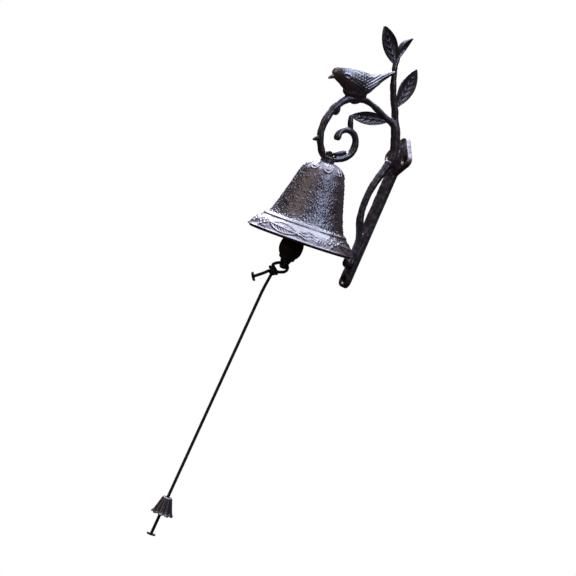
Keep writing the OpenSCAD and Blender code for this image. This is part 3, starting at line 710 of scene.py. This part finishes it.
def petalRelief(angle, reach, down):            # overlapping petals, each with two raised edges and a midrib
    petals = bell["petals"]
    fromCrown = reach + max(down - petals["start"], 0)
    lobe = angle / 360 * petals["count"]
    off = 2 * (lobe - math.floor(lobe)) - 1
    end = petals["end"] * (1 - petals["notch"] * off * off)
    if fromCrown >= end + petals["past"]:
        return 0
    inside = 1 / (1 + math.exp((fromCrown - end) * 2))
    out = petals["height"] * inside * (0.3 + 0.9 * ridge(off * reach * 0.35, petals["rib"]))
    out += petals["edge"] * ridge((fromCrown - end) * 0.7, petals["edgeWidth"])
    return out + petals["inner"] * ridge((fromCrown - end + petals["innerGap"]) * 0.7, petals["innerWidth"])


# The bell's axes from its bolt, and its crown, mouth radius and height from its node
def bellFrame():
    up = (middle("top_nut") - middle("inner_nut")).normalized()
    spot = middle("bell_boss")
    places = [v.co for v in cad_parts["bell"].data.vertices]
    heights = [(p - spot).dot(up) for p in places]
    crown = spot + up * max(heights)
    radius = max(((p - spot) - up * (p - spot).dot(up)).length for p in places)
    side = Vector((1, 0, 0))
    turn = Matrix((side, up.cross(side), up)).transposed().to_4x4()
    return Matrix.Translation(crown) @ turn, radius / mm, (max(heights) - min(heights)) / mm


def innerWall(outer):                           # from the lip up to the roof, one wall inside the profile
    inner = []
    for i in range(len(outer) - 1, 3, -bell["innerStep"]):
        a, b = outer[max(i - 1, 0)], outer[min(i + 1, len(outer) - 1)]
        run = math.hypot(b[0] - a[0], b[1] - a[1])
        inner.append((outer[i][0] + bell["wall"] * (b[1] - a[1]) / run,
                      outer[i][1] - bell["wall"] * (b[0] - a[0]) / run))
    inner = [p for p in inner if p[1] < -bell["roof"] and p[0] > bell["wall"]]
    return inner + [(outer[0][0], -bell["roof"])]


def buildBell():
    place, radius, height = bellFrame()
    outer = rounded([(p[0] * radius, -p[1] * height) for p in bell["profile"]], 12, bell["rings"])
    inner = innerWall(outer)
    rimR, rimZ = outer[-1]
    lip = [(rimR - bell["lip"], rimZ), ((rimR + inner[0][0]) / 2, rimZ + bell["lipRise"])]
    shape = spinShape(outer + lip + inner, bell["spokes"])
    rimSlant = math.hypot(radius * (1 - bell["profile"][-3][0]), bell["bandTop"])
    around = 2 * math.pi * radius * bell["bandRadius"]
    profileR = [p[0] for p in outer]
    profileZ = [-p[1] for p in outer]

    def depth(spot, normal):
        reach = math.hypot(spot.x, spot.y)
        if reach < bell["seat"] or reach < np.interp(-spot.z, profileZ, profileR) - 0.6:
            return 0                            # the inside and the seat under the boss stay plain
        angle = math.degrees(math.atan2(spot.y, spot.x))
        above = height + spot.z
        out = bell["grainDepth"] * noise.noise(spot / bell["grain"])
        out += bell["lumpDepth"] * noise.noise(spot / bell["lump"])
        if above < bell["bandTop"] + 0.2:
            slant = above * rimSlant / bell["bandTop"]
            fade = min(max(slant / 1.2, 0), 1) * min(max((rimSlant - slant) / 1.5, 0), 1)
            out += fade * bandOrnament(angle, slant, around)
            out += bell["rimBead"] * ridge(slant - bell["rimBeadUp"], bell["rimBeadWidth"])
        out += bell["bead"] * ridge(above - bell["bandTop"], bell["beadWidth"])
        if above > bell["bandTop"] + 1 and -spot.z > bell["pitTop"]:
            nearest = noise.voronoi(spot / bell["pit"])[0]
            out += bell["pitDepth"] * min(nearest[1] - nearest[0], bell["pitEdge"]) - bell["pitSink"]
        return out + petalRelief(angle, reach, -spot.z)

    pushOut(shape, depth)
    bmesh.ops.transform(shape, matrix=place, verts=shape.verts)
    return addPiece("castBell", shape, "bracket", bellIron, ("bell",))


buildBell()

# Pull weight: a hollow fluted cap with a scalloped lip; outlines are (radius, height) in millimetres
weight = {
    "outer": [(2.2, 0), (3.8, 0), (4.7, -0.5), (5.2, -1.6), (6.6, -6), (8.1, -10.5), (9.5, -14.4),
              (10.7, -16), (11.2, -17)],
    "inner": [(9.8, -17), (8, -14.6), (6.2, -10.5), (3.7, -4.5), (2.2, -4)],
    "height": 17, "rings": 46, "spokes": 240, "flutes": 10, "fluteDepth": 0.23, "fluteFrom": 3,
    "scallop": 0.9, "scallopFrom": 0.7, "lean": 4.73,
}


def buildWeight():
    shape = spinShape(rounded(weight["outer"], 6, weight["rings"]) + weight["inner"], weight["spokes"])
    for vert in shape.verts:
        reach = math.hypot(vert.co.x, vert.co.y) / mm
        down = -vert.co.z / mm
        lobe = abs(math.cos(weight["flutes"] / 2 * math.atan2(vert.co.y, vert.co.x)))
        grow = min(max((down - 1) / weight["height"], 0), 1)
        if reach > weight["fluteFrom"]:
            factor = 1 - (0.35 + 0.65 * grow) * weight["fluteDepth"] * (1 - lobe) ** 2
            vert.co.x *= factor
            vert.co.y *= factor
        low = down / weight["height"] - weight["scallopFrom"]
        if low > 0:
            vert.co.z += weight["scallop"] * mm * (1 - lobe) * low / (1 - weight["scallopFrom"])
    bmesh.ops.rotate(shape, verts=shape.verts, cent=(0, 0, 0),
                     matrix=Matrix.Rotation(math.radians(weight["lean"]), 3, "X"))
    low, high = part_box("pull_weight")
    mineY = [min(v.co.y for v in shape.verts), max(v.co.y for v in shape.verts)]
    mineTop = max(v.co.z for v in shape.verts)
    bmesh.ops.translate(shape, verts=shape.verts,
                        vec=(0, (low.y + high.y) / 2 - sum(mineY) / 2, high.z - mineTop))
    return addPiece("flutedWeight", shape, "weight", weightIron, ("pull_weight",))


buildWeight()

# Clapper: the casting's bulb runs down into its tail over a swelling at the neck
clapper = {"voxel": 0.45, "relax": 14, "neckUp": 10, "neckRadius": 7.5, "neckSpread": 3.6, "neckHeight": 1.3,
           "grain": 1.7, "grainDepth": 0.1, "lump": 6, "lumpDepth": 0.15}


def buildClapper():
    shape = castSkin(nodeCopy("clapper"), clapper["voxel"], clapper["relax"])
    low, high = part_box("clapper")
    axisY = (low.y + high.y) / 2 / mm
    neckZ = low.z / mm + clapper["neckUp"]

    def depth(place, normal):
        out = clapper["grainDepth"] * noise.noise(place / clapper["grain"])
        out += clapper["lumpDepth"] * noise.noise(place / clapper["lump"])
        if math.hypot(place.x, place.y - axisY) < clapper["neckRadius"]:
            out += clapper["neckHeight"] * ridge(place.z - neckZ, clapper["neckSpread"])
        return out

    pushOut(shape, depth)
    return addPiece("castClapper", shape, "clapper", clapperBlack, ("clapper",))


buildClapper()

# The bolt, its nuts and washers and the link keep their own shapes and take a finish
for node in ("eye_bolt", "top_washer", "top_nut", "inner_washer", "inner_nut", "clapper_link"):
    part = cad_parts[node]
    part.data.materials.clear()
    part.data.materials.append(darkSteel)
print("carried parts finished")

# Studio: a white floor and sky that only the camera sees, a dim warm room and four softboxes, in metres
studio = {"floor": 14, "floorBelow": 0.03, "room": "b48f80", "roomLight": 0.09, "centre": (0, -0.06, -0.03)}
# Each softbox: degrees round from the camera's heading (right is positive) and above the horizon,
# then its distance and size, its power in watts and its colour
softboxes = {
    "overheadBox": {"round": -146, "above": 76, "far": 0.95, "wide": 1.4, "tall": 1.4, "power": 66,
                    "colour": "dfe4ff"},
    "backBox": {"round": -150, "above": 34, "far": 1.0, "wide": 0.6, "tall": 0.6, "power": 12,
                "colour": "dfe0ff"},
    "fillBox": {"round": -52, "above": 14, "far": 1.5, "wide": 0.9, "tall": 0.9, "power": 5,
                "colour": "ffe4d6"},
    "stripBox": {"round": 31, "above": 36, "far": 1.1, "wide": 0.3, "tall": 0.8, "power": 8.5,
                 "colour": "c6d6ff"},
}


def buildFloor():
    shape = bmesh.new()
    bmesh.ops.create_grid(shape, x_segments=1, y_segments=1, size=studio["floor"])
    data = bpy.data.meshes.new("paleFloor")
    shape.to_mesh(data)
    shape.free()
    material = bpy.data.materials.new("pale paper floor")
    material.use_nodes = True
    tree = material.node_tree
    tree.nodes.clear()
    glow = addNode(tree, "ShaderNodeEmission", {"Color": grey(1.0), "Strength": 1.0})
    addNode(tree, "ShaderNodeOutputMaterial", links={"Surface": glow.outputs["Emission"]})
    data.materials.append(material)
    data.transform(Matrix.Translation((0, 0, cadBox[0][2] - studio["floorBelow"])))
    floor = bpy.data.objects.new("paleFloor", data)
    scene.collection.objects.link(floor)
    floor.visible_diffuse = False
    floor.visible_glossy = False


def buildSky():
    world = bpy.data.worlds.new("studio")
    world.use_nodes = True
    tree = world.node_tree
    tree.nodes.clear()
    seen = addNode(tree, "ShaderNodeBackground", {"Color": grey(1.0), "Strength": 1.0})
    room = addNode(tree, "ShaderNodeBackground",
                   {"Color": linear(studio["room"]), "Strength": studio["roomLight"]})
    path = addNode(tree, "ShaderNodeLightPath")
    mix = addNode(tree, "ShaderNodeMixShader", links={"Fac": path.outputs["Is Camera Ray"],
                                                     1: room.outputs[0], 2: seen.outputs[0]})
    addNode(tree, "ShaderNodeOutputWorld", links={"Surface": mix.outputs[0]})
    scene.world = world


def buildLights():
    centre = Vector(studio["centre"])
    heading = scene.camera.location - centre
    faced = math.atan2(heading.y, heading.x)
    for name, box in softboxes.items():
        lamp = bpy.data.lights.new(name, "AREA")
        lamp.shape = "RECTANGLE"
        lamp.size = box["wide"]
        lamp.size_y = box["tall"]
        lamp.energy = box["power"]
        lamp.color = linear(box["colour"])[:3]
        turn, lift = faced + math.radians(box["round"]), math.radians(box["above"])
        way = Vector((math.cos(turn) * math.cos(lift), math.sin(turn) * math.cos(lift), math.sin(lift)))
        holder = bpy.data.objects.new(name, lamp)
        holder.matrix_world = Matrix.Translation(centre + way * box["far"]) @ \
            way.to_track_quat("Z", "Y").to_matrix().to_4x4()
        scene.collection.objects.link(holder)


buildFloor()
buildSky()
buildLights()
print("studio built")
